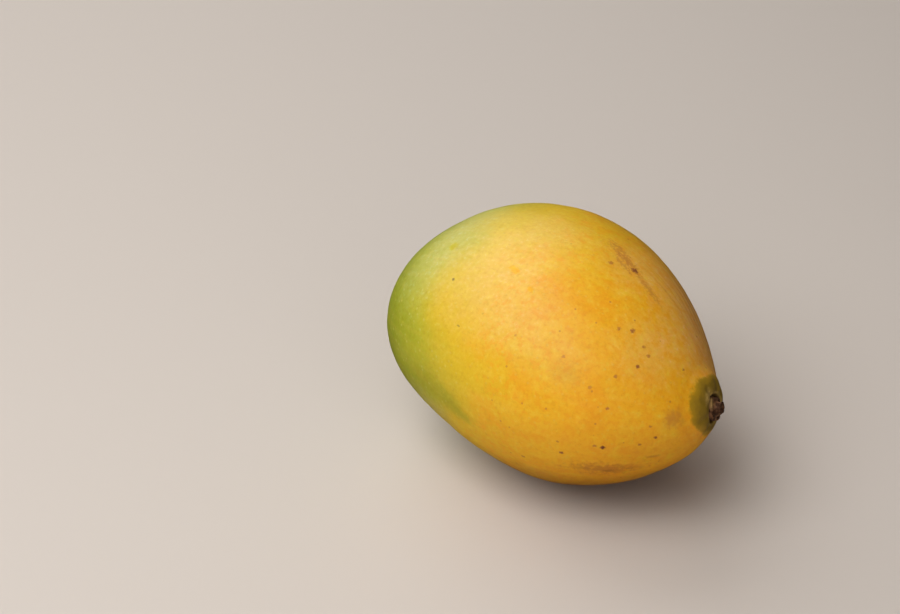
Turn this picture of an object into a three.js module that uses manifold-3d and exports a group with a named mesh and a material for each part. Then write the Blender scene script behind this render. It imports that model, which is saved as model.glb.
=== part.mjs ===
// A whole ripe mango lying on its flatter side, with the woody stub of its stem.
//
// Millimetres, +Z up. The long axis runs along X with the stem end at +X, and the floor is the plane
// Z = 0. The origin is on the floor, at the middle of the model's box. The fruit is one solid, as it
// grew, and the stub is a second.

import * as THREE from 'three';
import { mergeVertices } from 'three/addons/utils/BufferGeometryUtils.js';
import Module from 'manifold-3d';

const wasm = await Module();
wasm.setup();

// ---------------------------------------------------------------- driving dimensions

// The fruit's overall size, before it is laid down.
const LENGTH = 112; // blossom end to stem end
const WIDTH = 86; // across the broad side
const THICKNESS = 77; // from cheek to cheek, the smaller width

// How the girth changes along the fruit. With no taper the fruit would be a plain ellipsoid.
const TAPER = 0.09; // slimmer towards the stem end
const END_FULLNESS = -0.08; // negative draws both ends in a little
const STEM_POINT = 0.15; // narrows the stem end and fills the blossom end

// How the middle line wanders to the side: a mango has one full side and one flatter side.
const BOW = 6.5; // towards +Y, most at mid length
const SWAY = 9.5; // moves the full side towards the blossom end

// The stem grows a little off the tip of the long axis.
const STEM_ANGLE = THREE.MathUtils.degToRad(12); // away from the tip
const STEM_BEARING = THREE.MathUtils.degToRad(45); // around the long axis, from +Y up to +Z
const DIMPLE_DEPTH = 1.6;
const DIMPLE_RADIUS = 8;

// The round seat in the dimple, and the stub that stands in it: a woody disc with a nub on it.
const SEAT_RADIUS = 4.7;
const SEAT_DEPTH = 1.2; // below the dimple's lowest point
const STUB_CLEARANCE = 0.3; // below the stub and all round it
const DISC_RADIUS = SEAT_RADIUS - STUB_CLEARANCE;
const DISC_TOP = 2.6; // heights here are above the seat's floor
const NUB_RADIUS = 1.9;
const NUB_TOP = 6.2;

// How it lies.
const REST_TILT = THREE.MathUtils.degToRad(2.5); // the slimmer stem end lies lower
const FOOT_CUT = 0.5; // height of the cap that the resting spot takes off

// Mesh fineness.
const SEGMENTS_AROUND = 60;
const SEGMENTS_ALONG = 44;
const STUB_SEGMENTS = 20;

// ---------------------------------------------------------------- solids and booleans

/** Turns a closed geometry into a solid for cutting. */
function toSolid(geometry) {
  const bare = geometry.clone();
  bare.deleteAttribute('normal');
  bare.deleteAttribute('uv');
  const merged = mergeVertices(bare, 1e-4);
  const mesh = new wasm.Mesh({
    numProp: 3,
    vertProperties: Float32Array.from(merged.attributes.position.array),
    triVerts: Uint32Array.from(merged.index.array),
  });
  return new wasm.Manifold(mesh);
}

/** Turns a solid back into a geometry. */
function toGeometry(solid) {
  const mesh = solid.getMesh();
  const geometry = new THREE.BufferGeometry();
  geometry.setAttribute('position', new THREE.BufferAttribute(mesh.vertProperties, 3));
  geometry.setIndex(new THREE.BufferAttribute(mesh.triVerts, 1));
  geometry.computeVertexNormals();
  return geometry;
}

// ---------------------------------------------------------------- the fruit's skin

/** Moves a point of the unit sphere, whose poles are at X = -1 and X = 1, out to the fruit's skin. */
function toSkin(point) {
  const { x, y, z } = point;
  const girth = 1 - TAPER * x + END_FULLNESS * x ** 2 - STEM_POINT * x ** 3;
  const middle = (BOW - SWAY * x) * (1 - x ** 2);
  return point.set((LENGTH / 2) * x, (WIDTH / 2) * girth * y + middle, (THICKNESS / 2) * girth * z);
}

/** The skin point at an angle from the stem-end pole and a bearing around the long axis. */
function skinAt(angle, bearing) {
  const around = Math.sin(angle);
  return toSkin(new THREE.Vector3(Math.cos(angle), around * Math.cos(bearing), around * Math.sin(bearing)));
}

/** Where the stem grows: its point on the skin, and the way that it points. */
function stemPlace() {
  const step = 0.01;
  const foot = skinAt(STEM_ANGLE, STEM_BEARING);
  const outward = skinAt(STEM_ANGLE + step, STEM_BEARING).sub(foot);
  const sideways = skinAt(STEM_ANGLE, STEM_BEARING + step).sub(foot);
  return { foot, direction: outward.cross(sideways).normalize() };
}

/** Sinks the skin around the stem by a smooth dimple. */
function dimple(point, stem) {
  const offset = point.clone().sub(stem.foot);
  offset.addScaledVector(stem.direction, -offset.dot(stem.direction));
  const nearness = point.x > 0 ? Math.exp(-offset.lengthSq() / DIMPLE_RADIUS ** 2) : 0;
  return point.addScaledVector(stem.direction, -DIMPLE_DEPTH * nearness);
}

/** The closed skin: a sphere with its poles at the two ends, moved point by point. */
function skinGeometry(stem) {
  const geometry = new THREE.SphereGeometry(1, SEGMENTS_AROUND, SEGMENTS_ALONG);
  geometry.rotateZ(-Math.PI / 2);
  const position = geometry.attributes.position;
  const point = new THREE.Vector3();
  for (let i = 0; i < position.count; i += 1) {
    dimple(toSkin(point.fromBufferAttribute(position, i)), stem);
    position.setXYZ(i, point.x, point.y, point.z);
  }
  return geometry;
}

// ---------------------------------------------------------------- laying it down

/** Tilts a fruit drawn along X, and sinks it into the floor by the cap that its foot loses. */
function restingPlace(skin) {
  const tilt = new THREE.Matrix4().makeRotationY(REST_TILT);
  const tilted = skin.clone().applyMatrix4(tilt);
  const box = new THREE.Box3().setFromBufferAttribute(tilted.attributes.position);
  return new THREE.Matrix4().makeTranslation(0, 0, -box.min.z - FOOT_CUT).multiply(tilt);
}

/** A block below the floor, which cuts the flat resting spot. */
function belowFloor() {
  const size = LENGTH * 2;
  return new THREE.BoxGeometry(size, size, size).translate(0, 0, -size / 2);
}

/** A frame of reference whose +Y points along the stem, with its origin on the floor of the stub's seat. */
function seatPlace(stem) {
  const turn = new THREE.Quaternion().setFromUnitVectors(new THREE.Vector3(0, 1, 0), stem.direction);
  const floor = stem.foot.clone().addScaledVector(stem.direction, -DIMPLE_DEPTH - SEAT_DEPTH);
  return new THREE.Matrix4().compose(floor, turn, new THREE.Vector3(1, 1, 1));
}

// ---------------------------------------------------------------- the pieces

/** The fruit: its skin with the seat for the stub and the flat resting spot cut into it. */
function fruitGeometry(skin, seat, resting) {
  const toolLength = 2 * SEAT_RADIUS; // well out past the skin
  const socket = new THREE.CylinderGeometry(SEAT_RADIUS, SEAT_RADIUS, toolLength, STUB_SEGMENTS)
    .translate(0, toolLength / 2, 0)
    .applyMatrix4(seat);
  const seated = toSolid(skin).subtract(toSolid(socket));
  const laid = toSolid(toGeometry(seated).applyMatrix4(resting));
  return toGeometry(laid.subtract(toSolid(belowFloor())));
}

/** The stub: a scarred woody disc that narrows to the broken nub of the stalk. */
function stubGeometry(seat, resting) {
  const worn = 0.5; // how far the old edges are rounded off
  const profile = [
    [0, STUB_CLEARANCE],
    [DISC_RADIUS, STUB_CLEARANCE],
    [DISC_RADIUS, DISC_TOP - worn],
    [DISC_RADIUS - worn, DISC_TOP],
    [NUB_RADIUS + worn, DISC_TOP + worn],
    [NUB_RADIUS, NUB_TOP - worn],
    [NUB_RADIUS - worn, NUB_TOP],
    [0, NUB_TOP],
  ];
  const outline = profile.map(([radius, height]) => new THREE.Vector2(radius, height));
  return new THREE.LatheGeometry(outline, STUB_SEGMENTS).applyMatrix4(seat).applyMatrix4(resting);
}

/** A named mesh with its own matt material. */
function piece(name, geometry, color, roughness) {
  const mesh = new THREE.Mesh(geometry, new THREE.MeshStandardMaterial({ color, roughness, metalness: 0 }));
  mesh.name = name;
  return mesh;
}

const stem = stemPlace();
const skin = skinGeometry(stem);
const seat = seatPlace(stem);
const resting = restingPlace(skin);

const mango = new THREE.Group();
mango.add(piece('fruit', fruitGeometry(skin, seat, resting), 0xe0a32c, 0.45));
mango.add(piece('stem_stub', stubGeometry(seat, resting), 0x4a352a, 0.85));

const box = new THREE.Box3().setFromObject(mango);
const centre = box.getCenter(new THREE.Vector3());
mango.position.set(-centre.x, -centre.y, -box.min.z);

export default mango;
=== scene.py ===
# %% [markdown]
# # A ripe mango with its stem stub
#
# This lesson finishes a mango around a CAD model that is already measured. The CAD model holds
# two plain solids: the fruit, and the woody stub left of its stalk. We model a fine mesh for each in the
# same place, paint both with procedural materials, and light them softly on a plain floor. All lengths are
# metres, so `MM` turns the millimetres that a grower would name into Blender's units.

# %% Load the frame
import math

import bpy
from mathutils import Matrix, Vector


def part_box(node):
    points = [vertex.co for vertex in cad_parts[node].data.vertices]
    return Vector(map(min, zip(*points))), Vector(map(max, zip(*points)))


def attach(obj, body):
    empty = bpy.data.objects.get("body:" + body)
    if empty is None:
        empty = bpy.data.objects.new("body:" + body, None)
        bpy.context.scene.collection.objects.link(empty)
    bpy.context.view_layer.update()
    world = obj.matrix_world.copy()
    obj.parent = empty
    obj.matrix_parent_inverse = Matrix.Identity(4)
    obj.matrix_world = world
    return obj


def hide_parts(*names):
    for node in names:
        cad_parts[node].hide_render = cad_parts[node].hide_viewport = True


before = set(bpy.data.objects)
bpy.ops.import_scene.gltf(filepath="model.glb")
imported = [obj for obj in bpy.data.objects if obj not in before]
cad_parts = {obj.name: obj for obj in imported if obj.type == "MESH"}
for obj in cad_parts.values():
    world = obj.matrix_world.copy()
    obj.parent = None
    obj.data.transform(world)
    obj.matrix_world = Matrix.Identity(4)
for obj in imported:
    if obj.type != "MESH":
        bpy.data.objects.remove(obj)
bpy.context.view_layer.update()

MM = 0.001
HAIR = 0.01 * MM  # less than any real step in the shape, so it only tells equal places from others
fruit_low, fruit_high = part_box("fruit")
print("fruit, mm:", [round(side / MM, 1) for side in fruit_high - fruit_low])

# %% [markdown]
# ## Where the stem grows
#
# The CAD stub is a turned solid, and it stands square on its own flat underside. The face with the smallest
# X belongs to that underside, so its normal points straight back down the stem. All the faces that share
# that normal make up the whole underside, and their middle is a point on the stem's axis. Reading both from
# the frame keeps every later step right if the CAD model changes.

# %% Read the stem's axis from the CAD stub
SAME_WAY = 0.999  # the least dot product of two normals that count as the same
SEAT_DEPTH = 2.5 * MM  # from the skin's own level, before the hollow, down to the stub's underside

stub_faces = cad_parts["stem_stub"].data.polygons
underside_normal = min(stub_faces, key=lambda face: face.center.x).normal.copy()
underside = [face for face in stub_faces if face.normal.dot(underside_normal) > SAME_WAY]
underside_area = sum(face.area for face in underside)
seat_middle = sum((face.center * face.area for face in underside), Vector()) / underside_area
stem_way = -underside_normal
stem_foot = seat_middle + stem_way * SEAT_DEPTH
print("stem foot, mm:", [round(v / MM, 2) for v in stem_foot], "stem way:", [round(v, 3) for v in stem_way])

# %% [markdown]
# ## Helpers for modelling
#
# Operators act on whatever is selected, so each piece starts with nothing else selected. In edit mode we
# pick vertices by their place, as a hand would with a brush or a box, and then call the operator on them. A
# pull is a move with proportional editing: the vertices within its reach follow smoothly.

# %% Helpers for selecting
def take(piece):
    """Makes the piece the only selected object, and the active one."""
    bpy.ops.object.select_all(action="DESELECT")
    piece.select_set(True)
    bpy.context.view_layer.objects.active = piece


def pick(piece, wanted):
    """In edit mode, selects the vertices whose place passes the test, and returns how many there are."""
    bpy.ops.object.mode_set(mode="OBJECT")
    mesh = piece.data
    for part in (mesh.polygons, mesh.edges, mesh.vertices):
        part.foreach_set("select", [False] * len(part))
    for vertex in mesh.vertices:
        vertex.select = wanted(vertex.co)
    bpy.ops.object.mode_set(mode="EDIT")
    bpy.ops.mesh.select_mode(type="VERT")
    return sum(vertex.select for vertex in mesh.vertices)


def first_place(piece, rank):
    """The place of the vertex for which the rank is smallest."""
    return min((vertex.co for vertex in piece.data.vertices), key=rank).copy()


def pull(way, reach):
    """Moves what is selected, and lets the vertices within reach follow smoothly."""
    bpy.ops.transform.translate(
        value=way,
        use_proportional_edit=True,
        proportional_edit_falloff="SMOOTH",
        proportional_size=reach,
    )


def apply_modifiers(piece):
    """Makes every modifier's result the mesh itself."""
    take(piece)
    for modifier in list(piece.modifiers):
        bpy.ops.object.modifier_apply(modifier=modifier.name)


def place_mesh(piece):
    """Moves the object's place, turn and scale into its mesh."""
    take(piece)
    bpy.ops.object.transform_apply(location=True, rotation=True, scale=True)


# %% [markdown]
# ## The fruit, from a sphere
#
# A mango is close to an egg, so a UV sphere is the start. Its poles matter: we turn the sphere so that its
# top pole comes out where the stem grows. The rings of faces then run round the stem, which makes the
# hollow there easy to shape. The cap at that pole is opened first, while the sphere is still a true one.

# %% Add the sphere and open its cap
AROUND = 80
ALONG = 60
CAP_RINGS = 6

fruit_middle = (fruit_low + fruit_high) / 2
half_size = (fruit_high - fruit_low) / 2
to_stem = stem_foot - fruit_middle

bpy.ops.object.select_all(action="DESELECT")
bpy.ops.mesh.primitive_uv_sphere_add(segments=AROUND, ring_count=ALONG, radius=1)
fruit = bpy.context.active_object
fruit.name = "fruit_skin"
cap_height = math.cos(math.pi * (CAP_RINGS - 0.5) / ALONG)
pick(fruit, lambda place: place.z > cap_height)
bpy.ops.mesh.delete(type="VERT")
bpy.ops.object.mode_set(mode="OBJECT")
print("open sphere:", len(fruit.data.vertices), "vertices")

# %% Stretch it to the fruit's size, with its pole at the stem
fruit.scale = (half_size.z, half_size.y, to_stem.length)
fruit.rotation_mode = "QUATERNION"
fruit.rotation_quaternion = to_stem.to_track_quat("Z", "Y")
fruit.location = fruit_middle
place_mesh(fruit)
print("stretched sphere, mm:", [round(side / MM, 1) for side in fruit.dimensions])

# %% [markdown]
# ## Fitting it to the frame
#
# Shrinkwrap moves each vertex to the nearest point of the CAD fruit. That solid is made of flat facets, so
# the target is a copy that is merged and subdivided twice, which rounds the facets off. A few rounds of
# smoothing then even out the spacing, and a second, lighter wrap brings the skin back to its size.

# %% Wrap the sphere onto the CAD fruit
take(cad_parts["fruit"])
bpy.ops.object.duplicate()
form = bpy.context.active_object
bpy.ops.object.mode_set(mode="EDIT")
bpy.ops.mesh.select_all(action="SELECT")
bpy.ops.mesh.remove_doubles(threshold=HAIR)
bpy.ops.object.mode_set(mode="OBJECT")
rounding = form.modifiers.new("rounding", "SUBSURF")
rounding.levels = rounding.render_levels = 2
apply_modifiers(form)

wrap = fruit.modifiers.new("wrap", "SHRINKWRAP")
wrap.target = form
even = fruit.modifiers.new("even", "SMOOTH")
even.factor = 0.5
even.iterations = 6
again = fruit.modifiers.new("again", "SHRINKWRAP")
again.target = form
soften = fruit.modifiers.new("soften", "SMOOTH")
soften.factor = 0.5
soften.iterations = 2
apply_modifiers(fruit)
bpy.data.objects.remove(form)
print("wrapped skin:", len(fruit.data.vertices), "vertices")

# %% [markdown]
# ## The stem hollow
#
# The skin rises to a low, soft lip around the stub and then dips under it. The open cap left a ring of
# vertices around the stem. We extrude that ring again and again, and each time scale it towards the stem
# and slide it along the stem's axis to the next height of the profile. The last ring closes in one point.

# %% Extrude the ring inwards, down into the hollow
STEM_HOLLOW = [  # radius from the stem's axis, and height along it above the stem foot, in mm
    (10.7, -3.35),
    (9.2, -2.15),
    (8.0, -1.35),
    (7.1, -0.85),
    (6.4, -0.55),
    (5.8, -0.45),
    (5.2, -0.4),
    (4.7, -0.5),
    (4.35, -0.9),
    (4.1, -1.8),
    (3.7, -2.7),
    (2.0, -3.0),
]


def from_stem(place):
    """How far a point is from the stem's axis, and how high along it, above the stem foot."""
    offset = place - stem_foot
    height = offset.dot(stem_way)
    return (offset - stem_way * height).length, height


def rim_vertices(piece):
    """The vertices on the open edge of the piece."""
    uses = {}
    for face in piece.data.polygons:
        for key in face.edge_keys:
            uses[key] = uses.get(key, 0) + 1
    return {index for key, count in uses.items() if count == 1 for index in key}


rim = rim_vertices(fruit)
rim_places = [fruit.data.vertices[index].co.copy() for index in rim]
ring_radius, ring_height = (sum(values) / len(rim) for values in zip(*(from_stem(p) for p in rim_places)))
print(f"open ring: {len(rim)} vertices, radius {ring_radius / MM:.1f} mm, height {ring_height / MM:.1f} mm")

pick(fruit, lambda place: place in rim_places)
for radius, height in STEM_HOLLOW:
    shrink = radius * MM / ring_radius
    bpy.ops.mesh.extrude_region_move()
    bpy.ops.transform.resize(value=(shrink,) * 3, center_override=stem_foot + stem_way * ring_height)
    bpy.ops.transform.translate(value=stem_way * (height * MM - ring_height))
    ring_radius, ring_height = radius * MM, height * MM
bpy.ops.mesh.merge(type="CENTER")
bpy.ops.mesh.select_all(action="SELECT")
bpy.ops.mesh.normals_make_consistent(inside=False)
bpy.ops.object.mode_set(mode="OBJECT")
print("closed skin:", len(fruit.data.polygons), "faces, open edges:", len(rim_vertices(fruit)))

# %% [markdown]
# ## Creases around the stem
#
# The skin is pulled in where the stalk's fibres enter the fruit, which leaves short creases that point to
# the stem. Each is a few vertices on one spoke of the mesh, pushed in with proportional editing, so the
# skin beside them follows and stays smooth. The bearings and depths are uneven, as they are on a grown
# thing.

# %% Press in the creases
CREASES = [  # bearing around the stem in degrees, and depth in mm
    (8, 0.45),
    (49, 0.3),
    (81, 0.5),
    (128, 0.35),
    (160, 0.55),
    (205, 0.3),
    (236, 0.5),
    (281, 0.4),
    (327, 0.5),
]
CREASE_REACH = (5.3 * MM, 8.4 * MM)
CREASE_WIDTH = 1.6 * MM
CREASE_LOWEST = -10 * MM  # further down the stem's axis lies the fruit's other end

stem_side = stem_way.cross(Vector((0, 0, 1))).normalized()
stem_up = stem_side.cross(stem_way)


def bearing(place):
    """The angle around the stem, in degrees, from its side towards its top."""
    offset = place - stem_foot
    return math.degrees(math.atan2(offset.dot(stem_up), offset.dot(stem_side))) % 360


def on_spoke(place, wanted_bearing):
    """Whether a point is near the stem, on the spoke at this bearing."""
    radius, height = from_stem(place)
    if not (CREASE_REACH[0] < radius < CREASE_REACH[1] and height > CREASE_LOWEST):
        return False
    return abs((bearing(place) - wanted_bearing + 180) % 360 - 180) < 180 / AROUND


for wanted_bearing, depth in CREASES:
    found = pick(fruit, lambda place: on_spoke(place, wanted_bearing))
    pull(-stem_way * depth * MM, CREASE_WIDTH)
    print(f"crease at {wanted_bearing} degrees: {found} vertices")
bpy.ops.object.mode_set(mode="OBJECT")

# %% [markdown]
# ## The blossom end
#
# At the other end of a mango a low beak is left of the flower, with a small hard scar on it. The far pole
# of the sphere lies there. We pull it out with proportional editing, so the skin round it follows, and then
# push its very middle back in for the scar's pit. The far shoulder is a little fuller than the wrapped form
# gives, so one vertex there is pulled out as well, with a falloff as wide as the shoulder.

# %% Pull out the beak and press in its pit
ONE_VERTEX = 0.1 * MM  # less than the mesh is wide, so that it takes in one vertex only
BEAK_HEIGHT = 0.9 * MM
BEAK_WIDTH = 9 * MM
PIT_DEPTH = 0.45 * MM
PIT_WIDTH = 1.2 * MM

beak_place = first_place(fruit, lambda place: -(place - stem_foot).length)
beak_way = (beak_place - fruit_middle).normalized()
for distance, reach in ((BEAK_HEIGHT, BEAK_WIDTH), (-PIT_DEPTH, PIT_WIDTH)):
    pick(fruit, lambda place: (place - beak_place).length < ONE_VERTEX)
    pull(beak_way * distance, reach)
    beak_place += beak_way * distance
bpy.ops.object.mode_set(mode="OBJECT")
print("beak at, mm:", [round(v / MM, 1) for v in beak_place])

# %% Fill out the far shoulder
SHOULDER = Vector((30, 14, 60)) * MM
SHOULDER_PUSH = Vector((0.4, 0.45, 0.75)) * MM
SHOULDER_WIDTH = 45 * MM

nearest = first_place(fruit, lambda place: (place - SHOULDER).length)
pick(fruit, lambda place: (place - nearest).length < ONE_VERTEX)
pull(SHOULDER_PUSH, SHOULDER_WIDTH)
bpy.ops.object.mode_set(mode="OBJECT")
print("shoulder pushed out at, mm:", [round(v / MM, 1) for v in nearest])

# %% [markdown]
# ## Fine mesh and uneven skin
#
# Subdivision makes the mesh fine enough for relief that a hand would feel. Two Displace modifiers with
# cloud textures follow: a slow one, because no cheek of a fruit is quite even, and a quicker and weaker one
# for the small lumps under the skin. They read local coordinates, so the relief stays where it is.

# %% Subdivide and displace
def relief(piece, name, size, depth):
    """Adds a Displace modifier with a cloud texture, whose lumps are about this size and depth."""
    clouds = bpy.data.textures.new(name, "CLOUDS")
    clouds.noise_scale = size
    clouds.noise_depth = 1
    lumps = piece.modifiers.new(name, "DISPLACE")
    lumps.texture = clouds
    lumps.texture_coords = "LOCAL"
    lumps.mid_level = 0.5
    lumps.strength = depth


finer = fruit.modifiers.new("finer", "SUBSURF")
finer.levels = finer.render_levels = 2
relief(fruit, "slow_waves", size=26 * MM, depth=0.9 * MM)
relief(fruit, "small_lumps", size=6 * MM, depth=0.16 * MM)
apply_modifiers(fruit)
print("fine skin:", len(fruit.data.polygons), "faces")

# %% [markdown]
# ## The resting spot
#
# Under its own weight the fruit sits on a slightly flattened spot. We pick the lowest vertices by their
# height and scale them to nothing in Z about the floor, as S, Z, 0 would by hand.

# %% Flatten the foot
FOOT_HEIGHT = 0.3 * MM

flattened = pick(fruit, lambda place: place.z < FOOT_HEIGHT)
bpy.ops.transform.resize(value=(1, 1, 0), center_override=(0, 0, 0))
bpy.ops.object.mode_set(mode="OBJECT")
take(fruit)
bpy.ops.object.shade_smooth()
print("flattened", flattened, "vertices; the skin has", len(fruit.data.polygons), "faces")

# %% [markdown]
# ## The stub, from a cylinder
#
# The stub is what is left of the stalk: a woody scar as wide as the hollow, with the broken end of the
# stalk standing on it. It starts as a short cylinder that stands on its underside at the world's centre,
# where straight up is along the stem. Its top face is inset and moved again and again, as one would by
# hand.

# %% Model the disc and the broken nub
STUB_AROUND = 32
DISC_RADIUS = 4.2 * MM
DISC_HEIGHT = 2.6 * MM

STUB_STEPS = [  # inset of the top face, then how far it moves up, both in mm
    (0.4, 0.4),
    (0.55, 0.15),
    (0.45, -0.25),
    (0.4, 0.3),
    (0.2, 0.5),
    (0.05, 0.4),
    (0.05, 0.4),
    (0.1, 0.4),
    (0.3, 0.2),
    (0.4, -0.45),
]
NUB_FROM_STEP = 5  # from this step on the face is the nub's end, and the nub leans
NUB_LEAN = Vector((0.04, 0.08, 0)) * MM

bpy.ops.object.select_all(action="DESELECT")
bpy.ops.mesh.primitive_cylinder_add(
    vertices=STUB_AROUND, radius=DISC_RADIUS, depth=DISC_HEIGHT, location=(0, 0, DISC_HEIGHT / 2)
)
stub = bpy.context.active_object
stub.name = "woody_stub"
place_mesh(stub)

top = DISC_HEIGHT
pick(stub, lambda place: place.z > top - HAIR)
for step, (inset, rise) in enumerate(STUB_STEPS):
    bpy.ops.mesh.inset(thickness=inset * MM, depth=0)
    lean = NUB_LEAN if step >= NUB_FROM_STEP else Vector()
    bpy.ops.transform.translate(value=lean + Vector((0, 0, rise * MM)))
    top += rise * MM
bpy.ops.mesh.poke()
bpy.ops.object.mode_set(mode="OBJECT")
print("stub:", len(stub.data.polygons), "faces,", round(stub.dimensions.z / MM, 2), "mm tall")

# %% [markdown]
# ## Making the stub uneven
#
# Nothing on a scar is turned on a lathe. A few bites and bulges on the rim break the circle: each is one
# place where proportional editing pulls the wood in or out. A cloud texture then roughens the whole piece,
# and a Voronoi texture that is dark between its cells splits it into the small blocks that dry wood cracks
# into.

# %% Break up the rim
RIM_DENTS = [  # bearing in degrees, pull outwards in mm, and lift in mm
    (15, 0.35, 0.2),
    (60, -0.5, -0.1),
    (105, 0.3, -0.15),
    (150, -0.35, 0.25),
    (190, 0.4, 0.0),
    (235, -0.6, -0.3),
    (285, 0.25, 0.3),
    (330, -0.3, 0.1),
]
DENT_WIDTH = 1.7 * MM
RIM_REACH = 0.5 * MM


def at_rim(place, angle):
    """Whether a point is on the disc's outer edge near this bearing, in radians."""
    spot = Vector((math.cos(angle), math.sin(angle))) * DISC_RADIUS
    return (place.xy - spot).length < RIM_REACH


for degrees, outwards, lift in RIM_DENTS:
    angle = math.radians(degrees)
    pick(stub, lambda place: at_rim(place, angle))
    pull(Vector((math.cos(angle) * outwards, math.sin(angle) * outwards, lift)) * MM, DENT_WIDTH)
bpy.ops.object.mode_set(mode="OBJECT")
print("rim dents:", len(RIM_DENTS))

# %% Roughen and crack the wood
finer = stub.modifiers.new("finer", "SUBSURF")
finer.levels = finer.render_levels = 3
relief(stub, "wood_lumps", size=1.6 * MM, depth=0.5 * MM)

cells = bpy.data.textures.new("wood_cracks", "VORONOI")
cells.noise_scale = 1.5 * MM
cells.weight_1 = -1
cells.weight_2 = 1
cracks = stub.modifiers.new("wood_cracks", "DISPLACE")
cracks.texture = cells
cracks.texture_coords = "LOCAL"
cracks.mid_level = 0.5
cracks.strength = 0.45 * MM
apply_modifiers(stub)
print("cracked stub:", len(stub.data.polygons), "faces")

# %% Stand the stub in the hollow
stub.rotation_mode = "QUATERNION"
stub.rotation_quaternion = stem_way.to_track_quat("Z", "Y")
stub.location = seat_middle
place_mesh(stub)
bpy.ops.object.shade_smooth()
print("stub, mm:", [round(side / MM, 1) for side in stub.dimensions])

# %% [markdown]
# ## Building materials with few words
#
# A material is a tree of nodes. The helper `wire` adds one node, sets each of its inputs to a value or
# links it to another node's output, and returns the output that the next node will read. All patterns work
# in millimetres: the Object coordinates, which are metres, are multiplied by a thousand once.

# %% Helpers for single nodes
def feed(tree, node, inputs):
    """Sets each named input to a value, or links it where the value is another node's output."""
    for name, value in inputs.items():
        if isinstance(value, bpy.types.NodeSocket):
            tree.links.new(value, node.inputs[name])
        else:
            node.inputs[name].default_value = value


def wire(tree, kind, inputs=None, output=0, **settings):
    """Adds a node with these settings, feeds its inputs, and returns one of its outputs."""
    node = tree.nodes.new("ShaderNode" + kind)
    for name, value in settings.items():
        setattr(node, name, value)
    feed(tree, node, inputs or {})
    return node.outputs[output]


def math_node(tree, operation, *values):
    """A Math node, with its inputs in order."""
    return wire(tree, "Math", dict(enumerate(values)), operation=operation)


def times(tree, value, factor):
    """One value times another."""
    return math_node(tree, "MULTIPLY", value, factor)


def vector_node(tree, operation, *values, output=0):
    """A Vector Math node, with its inputs in order."""
    return wire(tree, "VectorMath", dict(enumerate(values)), output=output, operation=operation)


def scaled(tree, vector, factor):
    """A vector times a factor."""
    return wire(tree, "VectorMath", {0: vector, "Scale": factor}, operation="SCALE")


def fade(tree, value, start, end, low=0.0, high=1.0):
    """Runs smoothly from low to high as the value goes from start to end, and holds at both ends."""
    ranges = {"Value": value, "From Min": start, "From Max": end, "To Min": low, "To Max": high}
    return wire(tree, "MapRange", ranges, interpolation_type="SMOOTHSTEP")


def blend_colour(tree, share, colour, other, mode="MIX"):
    """Mixes the other colour over the first by this share."""
    inputs = {"Factor": share, 6: colour, 7: other}
    return wire(tree, "Mix", inputs, output=2, data_type="RGBA", blend_type=mode)


def noise(tree, place, size, detail=2.0, roughness=0.5):
    """A noise between 0 and 1 whose blotches are about this size in millimetres."""
    inputs = {"Vector": place, "Scale": 1 / size, "Detail": detail, "Roughness": roughness}
    return wire(tree, "TexNoise", inputs)


def rgb(red, green, blue):
    """A colour with its alpha, for a socket."""
    return (red, green, blue, 1)


# %% Helpers for groups and materials
def new_group(name, inputs, outputs):
    """An empty node group with these sockets, its tree, its input node's outputs and its output node."""
    tree = bpy.data.node_groups.new(name, "ShaderNodeTree")
    for socket, kind in inputs:
        tree.interface.new_socket(socket, in_out="INPUT", socket_type="NodeSocket" + kind)
    for socket, kind in outputs:
        tree.interface.new_socket(socket, in_out="OUTPUT", socket_type="NodeSocket" + kind)
    given = tree.nodes.new("NodeGroupInput").outputs
    result = tree.nodes.new("NodeGroupOutput").inputs
    return tree, given, result


def use_group(tree, group, inputs, output=0):
    """Places a node group, wires it, and returns one of its outputs."""
    node = tree.nodes.new("ShaderNodeGroup")
    node.node_tree = group
    feed(tree, node, inputs)
    return node.outputs[output]


def new_material(name):
    """A material with a Principled shader, its tree, the shader and the place in millimetres."""
    material = bpy.data.materials.new(name)
    material.use_nodes = True
    tree = material.node_tree
    shader = tree.nodes["Principled BSDF"]
    metres = wire(tree, "TexCoord", output="Object")
    return material, tree, shader, scaled(tree, metres, 1 / MM)


# %% [markdown]
# ## Effects used more than once
#
# Three effects come up again and again, so each is a node group. A patch is a soft blot at a chosen place,
# with a ragged edge: it makes flushes, streaks, stains and single specks. Dots are scattered by a Voronoi
# texture, whose cells are cut by the skin at random depths, so the dots come out in many sizes. The third
# says how far a point is from the stem, for the stain around it and for the grain of the stub.

# %% Group: patch
patch, given, result = new_group(
    "patch",
    [("Place", "Vector"), ("Centre", "Vector"), ("Reach", "Vector"), ("Turn", "Float"),
     ("Softness", "Float"), ("Raggedness", "Float"), ("Grain", "Float")],
    [("Mask", "Float")],
)
offset = vector_node(patch, "SUBTRACT", given["Place"], given["Centre"])
turned = wire(patch, "VectorRotate", {"Vector": offset, "Angle": given["Turn"]}, rotation_type="Z_AXIS")
spread = vector_node(patch, "LENGTH", vector_node(patch, "DIVIDE", turned, given["Reach"]), output="Value")
grain = wire(patch, "TexNoise", {"Vector": given["Place"], "Scale": given["Grain"], "Detail": 3.0})
uneven = math_node(patch, "SUBTRACT", grain, 0.5)
torn = math_node(patch, "MULTIPLY_ADD", uneven, given["Raggedness"], spread)
inner = math_node(patch, "SUBTRACT", 1.0, given["Softness"])
outer = math_node(patch, "ADD", 1.0, given["Softness"])
patch.links.new(fade(patch, torn, outer, inner), result["Mask"])


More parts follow.
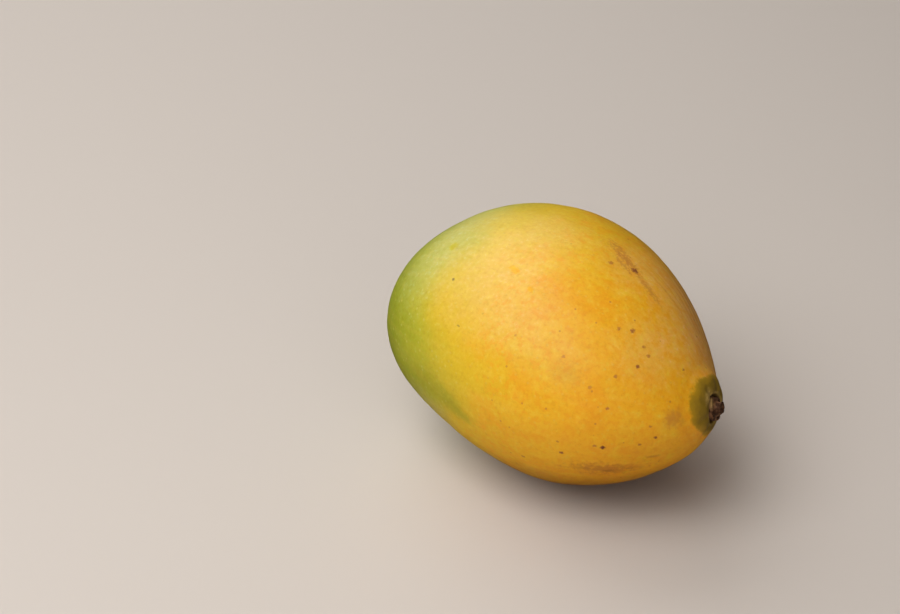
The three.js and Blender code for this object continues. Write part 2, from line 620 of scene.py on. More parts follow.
def blot(tree, place, centre, reach, turn=0.0, softness=0.6, raggedness=0.8, grain_size=3.0):
    """A patch at this centre, in millimetres."""
    inputs = {
        "Place": place,
        "Centre": centre,
        "Reach": reach,
        "Turn": math.radians(turn),
        "Softness": softness,
        "Raggedness": raggedness,
        "Grain": 1 / grain_size,
    }
    return use_group(tree, patch, inputs)


print("patch:", len(patch.nodes), "nodes")


# %% Group: dots
dots, given, result = new_group(
    "dots",
    [("Place", "Vector"), ("Density", "Float"), ("Size", "Float"), ("Share", "Float")],
    [("Mask", "Float")],
)
cell = dots.nodes.new("ShaderNodeTexVoronoi")
dots.links.new(given["Place"], cell.inputs["Vector"])
dots.links.new(given["Density"], cell.inputs["Scale"])
reach = times(dots, given["Size"], given["Density"])
inside = fade(dots, math_node(dots, "DIVIDE", cell.outputs["Distance"], reach), 1.0, 0.45)
luck = wire(dots, "SeparateColor", {"Color": cell.outputs["Color"]})
chosen = math_node(dots, "LESS_THAN", luck, given["Share"])
dots.links.new(times(dots, inside, chosen), result["Mask"])


def scatter(tree, place, spacing, size, share):
    """Dots of about this size, on a share of cells this far apart, in millimetres."""
    return use_group(tree, dots, {"Place": place, "Density": 1 / spacing, "Size": size, "Share": share})


print("dots:", len(dots.nodes), "nodes")


# %% Group: around the stem
stem_zone, given, result = new_group(
    "around_the_stem", [("Place", "Vector")], [("Radius", "Float"), ("Height", "Float")]
)
from_foot = vector_node(stem_zone, "SUBTRACT", given["Place"], stem_foot / MM)
along_stem = vector_node(stem_zone, "DOT_PRODUCT", from_foot, stem_way, output="Value")
squared = math_node(stem_zone, "POWER", vector_node(stem_zone, "LENGTH", from_foot, output="Value"), 2.0)
across = math_node(stem_zone, "SUBTRACT", squared, math_node(stem_zone, "POWER", along_stem, 2.0))
radius = math_node(stem_zone, "SQRT", math_node(stem_zone, "ABSOLUTE", across))
stem_zone.links.new(radius, result["Radius"])
stem_zone.links.new(along_stem, result["Height"])
print("around the stem:", len(stem_zone.nodes), "nodes")

# %% [markdown]
# ## The skin's ground colour
#
# The fruit ripens from the stem down: green at the blossom end, then yellow, then a warm orange-yellow for
# the half near the stem. A Color Ramp holds that row of colours. What drives it is the distance along the
# fruit, slightly sloped, with two noises added so that no border is straight. A few soft patches then make
# parts of the skin riper or greener than their neighbours, because the sun and the leaves never treat a
# fruit evenly.

# %% Ripeness
ALONG_FRUIT = (1.0, -0.03, 0.14)  # from the blossom end to the stem, and a little upwards
ROW_SHIFT = 14.5  # mm by which the row of colours is moved towards the stem
SLOW_SWING = 9.0  # mm by which the slow noise moves a border
QUICK_SWING = 7.0  # and the quick one
UNEVEN_RIPENESS = [  # centre and reach of a patch in mm, and how many mm further along it looks
    ((-24, -39, 33), (14, 10, 7), -9),
    ((6, -41, 21), (24, 14, 10), 11),
    ((0, 0, 76), (12, 12, 8), -7),
    ((13, -36, 58), (9, 9, 9), -6),
    ((-28, -28, 61), (9, 9, 9), 5),
    ((-28, -33, 49), (8, 8, 6), -4),
    ((-27, -12, 71), (7, 6, 6), -5),
    ((-10, -40, 43), (15, 8, 8), -4),
    ((-30, 38, 48), (20, 16, 16), -7),
    ((10, 44, 30), (18, 12, 14), 6),
]

skin, tree, shader, place = new_material("mango_skin")
slope = vector_node(tree, "DOT_PRODUCT", place, ALONG_FRUIT, output="Value")
slow = math_node(tree, "SUBTRACT", noise(tree, place, 20, detail=1), 0.5)
quick = math_node(tree, "SUBTRACT", noise(tree, place, 4.5, detail=4, roughness=0.6), 0.5)
ripeness = math_node(tree, "MULTIPLY_ADD", slow, SLOW_SWING, math_node(tree, "SUBTRACT", slope, ROW_SHIFT))
ripeness = math_node(tree, "MULTIPLY_ADD", quick, QUICK_SWING, ripeness)
for centre, reach, shift in UNEVEN_RIPENESS:
    area = blot(tree, place, centre, reach, softness=0.9, raggedness=1.0, grain_size=6.0)
    ripeness = math_node(tree, "MULTIPLY_ADD", area, shift, ripeness)
print("patches of uneven ripeness:", len(UNEVEN_RIPENESS))

# %% Ground colour
RIPENING = [  # millimetres along the fruit, and the colour there
    (-54, rgb(0.28, 0.31, 0.008)),
    (-47, rgb(0.36, 0.37, 0.012)),
    (-40, rgb(0.47, 0.425, 0.016)),
    (-32, rgb(0.62, 0.455, 0.016)),
    (-24, rgb(0.735, 0.482, 0.013)),
    (-14, rgb(0.79, 0.474, 0.011)),
    (-3, rgb(0.83, 0.455, 0.009)),
    (9, rgb(0.865, 0.44, 0.008)),
    (22, rgb(0.89, 0.42, 0.007)),
    (50, rgb(0.89, 0.398, 0.007)),
]
RIPEN_FROM = -60
RIPEN_TO = 60


def on_ramp(along):
    """Where on the ramp, from 0 to 1, this many millimetres along the fruit lies."""
    return (along - RIPEN_FROM) / (RIPEN_TO - RIPEN_FROM)


ramp_place = wire(tree, "MapRange", {"Value": ripeness, "From Min": RIPEN_FROM, "From Max": RIPEN_TO})
ground = wire(tree, "ValToRGB", {"Fac": ramp_place})
stops = ground.node.color_ramp.elements
for along, tint in RIPENING[1:-1]:
    stops.new(on_ramp(along)).color = tint
for stop, (along, tint) in ((stops[0], RIPENING[0]), (stops[len(stops) - 1], RIPENING[-1])):
    stop.position = on_ramp(along)
    stop.color = tint
colour = ground
print("ramp:", len(stops), "colours")

# %% [markdown]
# ## Flushes and streaks
#
# Over the ground colour lie wide, soft areas: orange flushes where the sun reached, and paler yellow
# between them. Both come from noise, and both stay off the green end. A green streak runs down the flank
# from the blossom end. Its place is known, so it is a row of three patches.

# %% Flushes and streaks
ORANGE = rgb(0.88, 0.33, 0.004)
YELLOW = rgb(0.9, 0.56, 0.03)
GREEN = rgb(0.42, 0.36, 0.01)
GREEN_UNTIL = -26.0  # ripeness, in mm along the row of colours
RIPE_FROM = -4.0
ELSEWHERE = (31.0, 17.0, 5.0)  # a step in mm, so that a noise read there doesn't line up with the first
STREAK = [  # centre and reach in mm
    ((-26, -38.5, 36.8), (7, 7, 2.8)),
    ((-18, -40, 34.8), (6.5, 7, 2.3)),
    ((-11.5, -41, 32), (5, 7, 1.9)),
]
STREAK_STRENGTH = 0.7

ripe = fade(tree, ripeness, GREEN_UNTIL, RIPE_FROM)
flush = fade(tree, noise(tree, place, 11, detail=2), 0.46, 0.7, high=0.5)
colour = blend_colour(tree, times(tree, flush, ripe), colour, ORANGE)
elsewhere = vector_node(tree, "ADD", place, ELSEWHERE)
pale = fade(tree, noise(tree, elsewhere, 8, detail=2), 0.5, 0.74, high=0.4)
colour = blend_colour(tree, times(tree, pale, ripe), colour, YELLOW)
for centre, reach in STREAK:
    streak = blot(tree, place, centre, reach, softness=0.8, raggedness=1.0)
    colour = blend_colour(tree, times(tree, streak, STREAK_STRENGTH), colour, GREEN)
print("skin nodes so far:", len(tree.nodes))

# %% [markdown]
# ## Bloom and painted sheen
#
# A mango's skin carries a thin wax, and where it is dusty, the colour under it looks paler. Other areas are
# painted light. All are wide patches with a ragged edge, each mixed over the colour by its own strength: a
# greenish bloom towards the blossom end, which at the left rims is also painted sheen, painted highlights
# along the top and on the right flank, and painted sheen on the top-left cheek and the shoulder by the stem.

# %% Bloom, painted highlights and painted sheen
# Bloom: dust on the wax, and at the left rims also painted sheen.
BLOOM_AND_RIM_SHEEN = [  # centre and reach in mm, and strength
    ((-37, -1, 69), (8, 16, 8), 0.42),
    ((-39, -22, 61), (8, 12, 9), 0.22),
    ((-27, -36, 25), (9, 8, 4.5), 0.35),
]
# Painted highlights along the top and on the right flank.
PAINTED_HIGHLIGHTS = [
    ((-14, -14, 73), (11, 9, 8), 0.2),
    ((-8, 2, 76), (9, 8, 6), 0.25),
    ((36, -14, 60), (9, 8, 8), 0.3),
]
# Painted sheen over the top-left cheek, and painted light on the shoulder by the stem.
PAINTED_SHEEN = [
    ((-10, -26, 67), (16, 13, 11), 0.19),
    ((42, 8, 54), (14, 12, 14), 0.35),
    ((33, 20, 62), (14, 10, 10), 0.25),
    ((19, 7, 71), (10, 9, 7), 0.2),
]
SHEEN_AND_BLOOM = [
    (BLOOM_AND_RIM_SHEEN, rgb(0.64, 0.58, 0.18)),
    (PAINTED_HIGHLIGHTS, rgb(0.9, 0.58, 0.15)),
    (PAINTED_SHEEN, rgb(0.88, 0.48, 0.2)),
]

# Each list is mixed over the colour in its own tint: the bloom, the painted highlights, the painted sheen.
for patches, sheen_and_bloom_tint in SHEEN_AND_BLOOM:
    for centre, reach, strength in patches:
        sheen_and_bloom_mask = blot(tree, place, centre, reach, softness=0.9, raggedness=1.6, grain_size=2.2)
        colour = blend_colour(tree, times(tree, sheen_and_bloom_mask, strength), colour, sheen_and_bloom_tint)
print("patches of bloom and wax:", sum(len(patches) for patches, sheen_and_bloom_tint in SHEEN_AND_BLOOM))

# %% [markdown]
# ## Fine lines
#
# Fine lines follow the fruit from end to end, like the meridians of a globe. They are a noise that is read
# at the place's direction around the long axis, while the distance along the axis counts for little, which
# draws each blotch out into a line. They show on the shoulder by the stem, and hardly anywhere else.

# %% Fine lines
AXIS_HEIGHT = 38.0  # mm from the floor to the fruit's long axis
DRAWN_OUT = (0.07, 0.0, 0.0)  # how much each mm along the axis counts
FAINTEST = 0.08
LINE_DARK = rgb(0.76, 0.55, 0.35)
LINE_PALE = rgb(0.88, 0.49, 0.12)

off_axis = vector_node(tree, "ADD", place, (0, 0, -AXIS_HEIGHT))
around_axis = vector_node(tree, "MULTIPLY", off_axis, (0.0, 1.0, 1.0))
on_circle = scaled(tree, vector_node(tree, "NORMALIZE", around_axis), AXIS_HEIGHT)
drawn_out = vector_node(tree, "MULTIPLY_ADD", place, DRAWN_OUT, on_circle)
lines = noise(tree, drawn_out, 2.6, detail=3, roughness=0.55)
banded = blot(tree, place, (29, 15, 56), (20, 11, 15), softness=0.9, raggedness=0.6, grain_size=6.0)
banded = math_node(tree, "MAXIMUM", banded, FAINTEST)
dark_lines = times(tree, fade(tree, lines, 0.5, 0.38, high=0.65), banded)
colour = blend_colour(tree, dark_lines, colour, LINE_DARK, mode="MULTIPLY")
pale_lines = times(tree, fade(tree, lines, 0.5, 0.62, high=0.6), banded)
colour = blend_colour(tree, pale_lines, colour, LINE_PALE)
print("skin nodes so far:", len(tree.nodes))

# %% [markdown]
# ## Mottling
#
# Close up the skin isn't one colour anywhere. Small blotches of orange and pale yellow lie side by side,
# about a millimetre across. The pores are paler than the skin, and they stand out most where it is green.

# %% Mottling and pores
DARK_GRAIN = rgb(0.84, 0.7, 0.5)
PALE_GRAIN = rgb(1.03, 1.16, 3.1)
ORANGE_CLUMPS = rgb(0.86, 0.33, 0.004)
YELLOW_CLUMPS = rgb(0.86, 0.62, 0.05)
PORE = rgb(0.66, 0.62, 0.2)
GREENEST = -44.0  # ripeness, in mm along the row of colours
NO_LONGER_GREEN = -16.0

fine = noise(tree, place, 1.3, detail=3, roughness=0.65)
darker = fade(tree, fine, 0.5, 0.3, high=0.4)
lighter = fade(tree, fine, 0.52, 0.72, high=0.6)
colour = blend_colour(tree, darker, colour, DARK_GRAIN, mode="MULTIPLY")
colour = blend_colour(tree, lighter, colour, PALE_GRAIN, mode="MULTIPLY")
coarse = noise(tree, elsewhere, 2.2, detail=3, roughness=0.65)
clumps = times(tree, fade(tree, coarse, 0.5, 0.64, high=0.5), ripe)
colour = blend_colour(tree, clumps, colour, ORANGE_CLUMPS)
thin_places = fade(tree, coarse, 0.46, 0.3, high=0.3)
not_green = fade(tree, ripeness, GREENEST, NO_LONGER_GREEN, low=0.35)
colour = blend_colour(tree, times(tree, thin_places, not_green), colour, YELLOW_CLUMPS)
pores = scatter(tree, place, spacing=2.3, size=0.55, share=0.8)
pore_strength = fade(tree, ripeness, NO_LONGER_GREEN, GREENEST, low=0.1, high=0.27)
colour = blend_colour(tree, times(tree, pores, pore_strength), colour, PORE)
print("skin nodes so far:", len(tree.nodes))

# %% [markdown]
# ## Marks
#
# A ripe fruit has been knocked and rubbed. The list gives the marks that catch the eye, each as a small
# patch that is a little wider than tall. Fainter freckles are scattered between them. Thin scars, where a
# twig rubbed, run along the top, and a sooty smear and some bruises lie low on the flank. In a few places
# the wax is rubbed off, and the bare skin there is a stronger yellow.

# %% Specks and freckles
SPECKS = [  # place in mm, radius in mm, and strength
    ((37, -20.3, 57.7), 0.55, 0.75),
    ((28, -17, 65.5), 0.5, 0.5),
    ((31, -14.3, 64.5), 0.6, 0.65),
    ((35.4, -15, 61), 0.45, 0.45),
    ((37.6, -15.6, 59), 0.5, 0.5),
    ((33.6, -26.6, 56.4), 0.5, 0.45),
    ((28.8, -32.8, 54), 0.55, 0.35),
    ((34.7, -32.1, 48.7), 0.45, 0.6),
    ((45.1, -8.4, 53.3), 0.4, 0.6),
    ((45.2, -25, 42.6), 0.45, 0.4),
    ((46.7, -24.3, 38.8), 0.45, 0.8),
    ((43.5, -27.8, 37), 0.5, 0.55),
    ((35.3, -34.8, 36.4), 0.6, 0.95),
    ((33.3, -36, 36.9), 0.5, 0.5),
    ((24.4, -39.9, 32.8), 0.55, 0.75),
    ((11.8, -41.1, 26.4), 0.5, 0.5),
    ((13.4, 0.1, 73.6), 0.7, 0.5),
    ((-26.2, -24.5, 65.4), 0.4, 0.5),
    ((3.0, -33.7, 62.2), 0.4, 0.3),
    ((19, -32.1, 60.5), 0.45, 0.35),
    ((23.4, -40.6, 36.8), 0.45, 0.4),
    ((-17.1, -34.3, 57.8), 0.4, 0.3),
    ((-4, 30, 66), 0.6, 0.7),
    ((16, 38, 52), 0.55, 0.8),
    ((-20, 44, 44), 0.5, 0.6),
    ((30, 30, 40), 0.7, 0.6),
    ((-38, 30, 30), 0.5, 0.6),
]
WIDER = 1.2
LOWER = 0.85
FRECKLE_STRENGTH = 0.34

marks = None
for centre, radius, strength in SPECKS:
    reach = (radius * WIDER, radius * WIDER, radius * LOWER)
    spot = blot(tree, place, centre, reach, softness=0.6, raggedness=2.0, grain_size=0.5)
    spot = times(tree, spot, strength)
    marks = spot if marks is None else math_node(tree, "MAXIMUM", marks, spot)
freckles = scatter(tree, place, spacing=3.6, size=0.5, share=0.42)
freckles = times(tree, freckles, FRECKLE_STRENGTH)
marks = math_node(tree, "MAXIMUM", marks, times(tree, freckles, ripe))
print("specks placed:", len(SPECKS))

# %% Scars, smear and bruises
RUST = rgb(0.56, 0.2, 0.03)
GREEN_END_RUST = rgb(0.24, 0.16, 0.03)
BROWN = rgb(0.17, 0.045, 0.02)
SOFT_MARKS = [  # centre and reach in mm, turn in degrees, softness, raggedness, grain in mm, and strength
    ((15, 6, 72), (6.5, 1.5, 4), 17, 0.9, 3.6, 0.8, 0.36),
    ((11, 9, 72.6), (4, 1.1, 4), 17, 0.9, 3.6, 0.8, 0.3),
    ((16, 3, 72), (4, 0.9, 4), 14, 0.9, 3.4, 0.8, 0.3),
    ((25, 2.2, 68.2), (7, 1.0, 5), 17, 0.9, 3.4, 0.9, 0.3),
    ((19.3, 4.2, 70.6), (1.2, 1.0, 2), 17, 0.6, 1.6, 0.6, 0.85),
    ((35, -32, 27.1), (9, 7, 2.4), -36, 0.9, 2.6, 1.3, 0.38),
    ((36, -31.6, 26.2), (2.4, 2.4, 0.9), 0, 0.8, 1.8, 0.8, 0.6),
    ((49.2, -18.8, 43.5), (3.2, 3.2, 2.6), 0, 0.9, 1.6, 1.4, 0.32),
    ((46, -24.2, 31.5), (2.2, 2.2, 0.6), 0, 0.8, 1.4, 1.0, 0.3),
    ((12, -38, 20), (9, 8, 3), 0, 0.9, 2.0, 2.0, 0.16),
    ((21, -34.5, 56.5), (6, 5, 4), 0, 0.9, 1.5, 1.2, 0.17),
    ((2, 45, 34), (7, 5, 2), 0, 0.9, 2.2, 1.6, 0.3),
    ((-30, 26, 62), (9, 0.8, 6), -28, 0.9, 2.4, 1.4, 0.3),
    (tuple(beak_place / MM), (2.4, 2.4, 2.4), 0, 0.8, 1.2, 1.2, 0.3),
    (tuple(beak_place / MM), (1.0, 1.0, 1.0), 0, 0.4, 0.8, 0.6, 1.0),
]

for centre, reach, turn, softness, raggedness, grain_size, strength in SOFT_MARKS:
    mark = blot(tree, place, centre, reach, turn, softness, raggedness, grain_size)
    marks = math_node(tree, "MAXIMUM", marks, times(tree, mark, strength))
weak_mark = blend_colour(tree, ripe, GREEN_END_RUST, RUST)
colour = blend_colour(tree, fade(tree, marks, 0.0, 0.5, high=0.9), colour, weak_mark)
colour = blend_colour(tree, fade(tree, marks, 0.4, 0.95, high=0.9), colour, BROWN)
print("soft marks placed:", len(SOFT_MARKS))

# %% Rubbed wax
BARE_SKIN = rgb(1.04, 0.96, 0.2)
RUBBED = [  # centre and reach in mm
    ((-8.5, -18.2, 72.6), (2.2, 0.9, 3)),
    ((0.2, -22.3, 71.1), (1.2, 0.7, 3)),
    ((-33.9, -14.2, 68.9), (1.4, 1.4, 3)),
]

rubbed = None
for centre, reach in RUBBED:
    spot = blot(tree, place, centre, reach, turn=20, softness=0.5, raggedness=1.6, grain_size=0.8)
    rubbed = spot if rubbed is None else math_node(tree, "MAXIMUM", rubbed, spot)
colour = blend_colour(tree, rubbed, colour, BARE_SKIN, mode="MULTIPLY")
print("rubbed spots:", len(RUBBED))

# %% [markdown]
# ## The stain around the stem
#
# Sap has stained the skin olive round the stem. The stain follows the distance from the stem's axis, but it
# reaches a little further upwards, it is cut short at two opposite sides, and it ends in a fairly sharp,
# uneven edge. It is deeper nearer the stub. Beside the wood a collar of dry, pale skin has split away, with
# a painted highlight on its upper left, and right at the wood a dark ring is painted shade in the hollow.
# The stem's axis also leaves the fruit at its other end, so a mask on the height keeps the stain off there.

# %% Stain
STAIN = rgb(0.37, 0.212, 0.004)
DEEP_STAIN = rgb(0.23, 0.137, 0.008)
STAIN_LEAN = 0.13  # how much nearer each mm upwards brings a place
STAIN_MIDDLE = 2.0  # mm crosswise, from the stem to the stain's middle
STAIN_HALF_WIDTH = 6.5  # mm from that middle, past which the stain is cut short
STAIN_CUT = 0.6  # how much farther each mm past it brings a place
STAIN_RAGGED = 5.0  # mm by which the quick noise moves the edge

stem_radius = use_group(tree, stem_zone, {"Place": place}, output="Radius")
stem_height = use_group(tree, stem_zone, {"Place": place}, output="Height")
front_half = fade(tree, stem_height, -30.0, -20.0)
from_foot = vector_node(tree, "SUBTRACT", place, stem_foot / MM)
leaning = vector_node(tree, "DOT_PRODUCT", from_foot, stem_side * 0.5 + stem_up * 0.87, output="Value")
crosswise = vector_node(tree, "DOT_PRODUCT", from_foot, stem_up * 0.84 - stem_side * 0.55, output="Value")
off_middle = math_node(tree, "ABSOLUTE", math_node(tree, "SUBTRACT", crosswise, STAIN_MIDDLE))
too_far = math_node(tree, "MAXIMUM", math_node(tree, "SUBTRACT", off_middle, STAIN_HALF_WIDTH), 0.0)
ragged_radius = math_node(tree, "MULTIPLY_ADD", leaning, -STAIN_LEAN, stem_radius)
ragged_radius = math_node(tree, "MULTIPLY_ADD", too_far, STAIN_CUT, ragged_radius)
ragged_radius = math_node(tree, "MULTIPLY_ADD", quick, STAIN_RAGGED, ragged_radius)
stain = times(tree, fade(tree, ragged_radius, 10.9, 9.3, high=0.9), front_half)
colour = blend_colour(tree, stain, colour, STAIN)
deep = times(tree, fade(tree, ragged_radius, 9.6, 7.2, high=0.9), front_half)
colour = blend_colour(tree, deep, colour, DEEP_STAIN)
print("skin nodes so far:", len(tree.nodes))

# %% Dry collar with a painted highlight, and painted shade in the hollow
COLLAR_HIGHLIGHT_SPOT = (53.3, -5, 43.9)
DRY_SKIN_AND_HIGHLIGHT = rgb(0.5, 0.32, 0.075)
HOLLOW_SHADE = rgb(0.12, 0.06, 0.02)

split = fade(tree, noise(tree, place, 1.3, detail=3), 0.36, 0.56, low=0.35)
# Painted highlight: a pale spot on the collar's upper left, the side the light falls on; the ring round the
# stub is dry skin.
collar_highlight = blot(tree, place, COLLAR_HIGHLIGHT_SPOT, (2.4, 2.4, 3.0), softness=0.35, raggedness=1.0, grain_size=1.0)
around = times(tree, fade(tree, stem_radius, 5.6, 4.9, high=0.5), front_half)
dry_skin_and_highlight = times(tree, math_node(tree, "MAXIMUM", collar_highlight, around), split)
colour = blend_colour(tree, dry_skin_and_highlight, colour, DRY_SKIN_AND_HIGHLIGHT)
# Painted shade: a dark ring right beside the stub, where the hollow dips under the wood.
painted_hollow_shade = times(tree, fade(tree, stem_radius, 4.6, 4.2, high=0.7), front_half)
colour = blend_colour(tree, painted_hollow_shade, colour, HOLLOW_SHADE)
print("skin nodes so far:", len(tree.nodes))

# %% [markdown]
# ## Low down at the stem end
#
# Low on the flank near the stem the yellow is deeper. Further down, next to the floor, the skin is darkened
# as painted shade for the contact shadow under the fruit. Each is one wide, soft patch that multiplies the
# colour, so that what lies under it still shows.

# %% Deeper yellow and painted shade next to the floor
DEEPER = rgb(0.97, 0.94, 0.2)
PAINTED_LOW_SHADE = rgb(0.48, 0.4, 0.2)

deeper = blot(tree, place, (40, -24, 23), (27, 24, 17), softness=0.7, raggedness=0.4, grain_size=5.0)
colour = blend_colour(tree, deeper, colour, DEEPER, mode="MULTIPLY")
# Painted shade: the low skin next to the floor is darkened, as a contact shadow would darken it.
painted_low_shade = blot(tree, place, (24, -12, 4), (44, 38, 17), softness=0.5, raggedness=0.4, grain_size=5.0)
colour = blend_colour(tree, painted_low_shade, colour, PAINTED_LOW_SHADE, mode="MULTIPLY")
tree.links.new(colour, shader.inputs["Base Color"])
print("skin nodes so far:", len(tree.nodes))

# %% [markdown]
# ## Sheen and relief of the skin
#
# A mango has a thin wax on it, so it is satin: bright areas are broad and soft. The wax is rubbed off in
# places and thick in others, which the roughness shows. The relief is fine orange peel with small raised
# pores.

# %% Roughness and bump
worn = fade(tree, noise(tree, place, 7, detail=3), 0.35, 0.7, low=0.38, high=0.5)
worn = math_node(tree, "MULTIPLY_ADD", fine, 0.08, worn)
worn = math_node(tree, "MULTIPLY_ADD", math_node(tree, "MAXIMUM", marks, stain), 0.15, worn)
worn = math_node(tree, "MULTIPLY_ADD", rubbed, 0.2, worn)
tree.links.new(worn, shader.inputs["Roughness"])

PEEL_SIZE = 1.1  # mm
peel_inputs = {"Vector": place, "Scale": 1 / PEEL_SIZE, "Smoothness": 1.0}
peel = wire(tree, "TexVoronoi", peel_inputs, feature="SMOOTH_F1")
height = times(tree, peel, 0.035)
height = math_node(tree, "MULTIPLY_ADD", fine, 0.03, height)
height = math_node(tree, "MULTIPLY_ADD", pores, 0.02, height)
height = math_node(tree, "MULTIPLY_ADD", marks, 0.04, height)
bump = wire(tree, "Bump", {"Height": height, "Distance": MM, "Strength": 1.0}, output="Normal")
tree.links.new(bump, shader.inputs["Normal"])
fruit.data.materials.append(skin)
print("skin nodes:", len(tree.nodes))

# %% [markdown]
# ## The stub's wood
#
# The wood is dead and dry: dark red-brown in its cracks, brown on its sides, and grey where the broken
# fibres have bleached. The grain runs along the stem, so the place is squeezed along the stem's axis before
# the noise.

# %% Wood
WOOD_RED = rgb(0.055, 0.02, 0.007)
WOOD_BROWN = rgb(0.19, 0.08, 0.03)
CRACK = rgb(0.02, 0.009, 0.005)
BLEACHED = rgb(0.28, 0.15, 0.075)
RIM_HIGHLIGHT = rgb(0.44, 0.26, 0.08)
BROKEN_TIP = rgb(0.03, 0.01, 0.006)
SQUEEZE = 0.75  # the share of each step along the stem that the noise leaves out

wood, tree, shader, place = new_material("stub_wood")
stem_radius = use_group(tree, stem_zone, {"Place": place}, output="Radius")
stem_height = use_group(tree, stem_zone, {"Place": place}, output="Height")
back_along = scaled(tree, stem_way, times(tree, stem_height, -SQUEEZE))
squeezed = vector_node(tree, "ADD", place, back_along)
fibres = noise(tree, squeezed, 0.45, detail=4, roughness=0.7)
blotches = noise(tree, place, 1.4, detail=3, roughness=0.6)

colour = blend_colour(tree, fade(tree, blotches, 0.4, 0.62), WOOD_RED, WOOD_BROWN)
colour = blend_colour(tree, fade(tree, fibres, 0.45, 0.3, high=0.7), colour, CRACK)
pale_fibres = fade(tree, fibres, 0.5, 0.66)
pale_blotches = fade(tree, blotches, 0.5, 0.62, high=0.55)
colour = blend_colour(tree, times(tree, pale_fibres, pale_blotches), colour, BLEACHED)
# Painted highlight: a pale spot on the wood's rim, on the side the light falls on.
rim_highlight = blot(tree, place, COLLAR_HIGHLIGHT_SPOT, (1.6, 1.6, 2.6), softness=0.4, raggedness=0.9, grain_size=0.8)
colour = blend_colour(tree, times(tree, rim_highlight, 0.75), colour, RIM_HIGHLIGHT)
tip = fade(tree, stem_height, 1.9, 2.6, high=0.85)
colour = blend_colour(tree, tip, colour, BROKEN_TIP)
tree.links.new(colour, shader.inputs["Base Color"])
tree.links.new(fade(tree, blotches, 0.3, 0.7, low=0.9, high=0.68), shader.inputs["Roughness"])
height = times(tree, fibres, 0.12)
bump = wire(tree, "Bump", {"Height": height, "Distance": MM, "Strength": 1.0}, output="Normal")
tree.links.new(bump, shader.inputs["Normal"])
stub.data.materials.append(wood)
print("wood nodes:", len(tree.nodes))

# %% [markdown]
# ## Floor, light and camera
#
# The floor is plain and pale, and large enough to fill every view. Four softboxes light the fruit: a key
# high on the left, a wide one behind it for the sheen on the wax, one that lights the fruit's back, and a
# very large one that fills in from the camera's side. Each is set by how bright it makes a surface that
# faces it, where 1 shows a colour as it was written. The key, the fill and the floor are kept out of the
# reflections, as black cards would do in a studio, so the wax mirrors only the two lamps at the back, in one
# broad sheen. Low views look past the lit floor. There the camera alone sees a pale backdrop, and no light
# from it reaches the fruit.

# %% Lay the floor
FLOOR_SIDE = 8
FLOOR_COLOUR = rgb(0.63, 0.56, 0.5)

bpy.ops.object.select_all(action="DESELECT")
bpy.ops.mesh.primitive_plane_add(size=FLOOR_SIDE)
floor = bpy.context.active_object
floor.name = "floor"
pale_floor = bpy.data.materials.new("pale_floor")
pale_floor.use_nodes = True
floor_shader = pale_floor.node_tree.nodes["Principled BSDF"]
floor_shader.inputs["Base Color"].default_value = FLOOR_COLOUR
floor_shader.inputs["Roughness"].default_value = 0.8
floor.data.materials.append(pale_floor)
floor.visible_glossy = False
print("floor, m:", [round(side, 1) for side in floor.dimensions])

# %% Let the far floor fade into the backdrop
BACKDROP = rgb(0.95, 0.87, 0.8)
BACKDROP_STRENGTH = 0.58
FADE_START = 0.45  # metres from the fruit
FADE_END = 1.7

tree = pale_floor.node_tree
from_middle = vector_node(tree, "LENGTH", wire(tree, "TexCoord", output="Object"), output="Value")
far_off = fade(tree, from_middle, FADE_START, FADE_END, high=BACKDROP_STRENGTH)
seen = wire(tree, "LightPath", output="Is Camera Ray")
floor_shader.inputs["Emission Color"].default_value = BACKDROP
tree.links.new(times(tree, far_off, seen), floor_shader.inputs["Emission Strength"])
print("the floor fades from", FADE_START, "to", FADE_END, "m")

# %% Set up the camera
CAMERA_TURN = math.radians(36.5)
CAMERA_RISE = math.radians(34)
CAMERA_DISTANCE = 0.88
CAMERA_AIM = Vector((-76, 41, 0)) * MM
LENS = 103.7

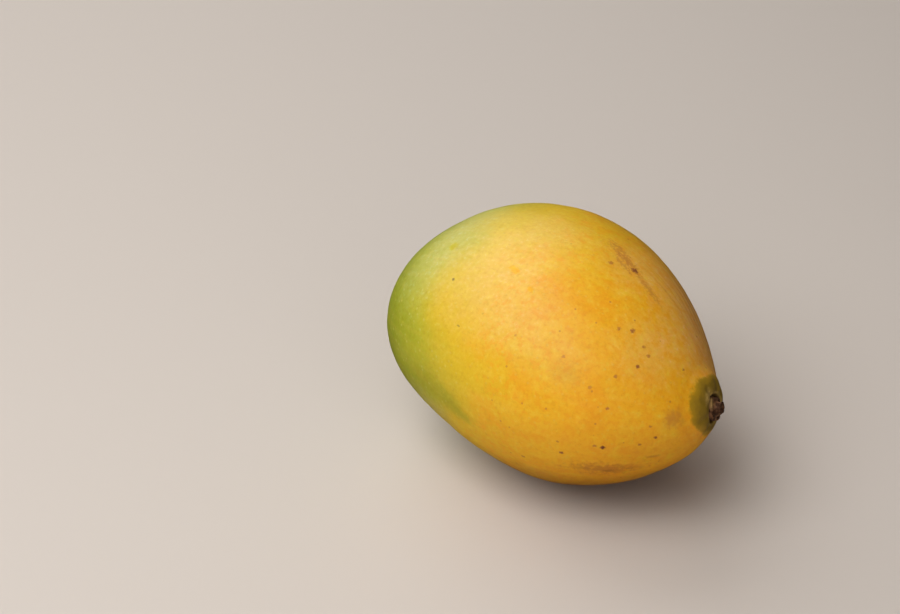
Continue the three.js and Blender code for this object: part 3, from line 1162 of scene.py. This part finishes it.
right = Vector((math.cos(CAMERA_TURN), math.sin(CAMERA_TURN), 0))
away = Vector((-math.sin(CAMERA_TURN), math.cos(CAMERA_TURN), 0))
up = Vector((0, 0, 1))
back = up * math.sin(CAMERA_RISE) - away * math.cos(CAMERA_RISE)

bpy.ops.object.camera_add(location=CAMERA_AIM + back * CAMERA_DISTANCE)
camera = bpy.context.active_object
camera.rotation_euler = back.to_track_quat("Z", "Y").to_euler()
camera.data.lens = LENS
camera.data.clip_start = 0.01
bpy.context.scene.camera = camera
print("camera at, m:", [round(v, 3) for v in camera.location])


# %% Light it
def softbox(name, turn, rise, distance, size, brightness):
    """A square area light that faces the fruit. Turn goes round from the camera's side to the right."""
    level = right * math.sin(math.radians(turn)) - away * math.cos(math.radians(turn))
    way = level * math.cos(math.radians(rise)) + up * math.sin(math.radians(rise))
    bpy.ops.object.light_add(type="AREA", location=fruit_middle + way * distance)
    lamp = bpy.context.active_object
    lamp.name = name
    lamp.rotation_euler = way.to_track_quat("Z", "Y").to_euler()
    lamp.data.size = size
    lamp.data.energy = brightness * (math.pi * distance) ** 2
    return lamp


key = softbox("key", turn=-48, rise=55, distance=0.7, size=0.6, brightness=0.61)
key.visible_glossy = False
softbox("sheen", turn=-94, rise=52, distance=1.2, size=1.4, brightness=0.33)
softbox("rim", turn=-150, rise=38, distance=1.3, size=1.2, brightness=0.45)
fill = softbox("fill", turn=-5, rise=36, distance=1.4, size=2.2, brightness=0.5)
fill.visible_glossy = False

ROOM_LIGHT = 0.03
world = bpy.data.worlds.new("studio")
bpy.context.scene.world = world
world.use_nodes = True
tree = world.node_tree
backdrop = tree.nodes["Background"]
backdrop.inputs["Color"].default_value = BACKDROP
seen = wire(tree, "LightPath", output="Is Camera Ray")
brightness = math_node(tree, "MULTIPLY_ADD", seen, BACKDROP_STRENGTH - ROOM_LIGHT, ROOM_LIGHT)
tree.links.new(brightness, backdrop.inputs["Strength"])
bpy.context.scene.view_settings.view_transform = "Standard"

# %% [markdown]
# ## Attaching the pieces
#
# Each piece is attached to the body it moves with, and the CAD solid that it stands for is hidden.

# %% Finish
for piece, node, finish in ((fruit, "fruit", "skin"), (stub, "stem_stub", "stub")):
    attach(piece, "root")
    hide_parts(node)
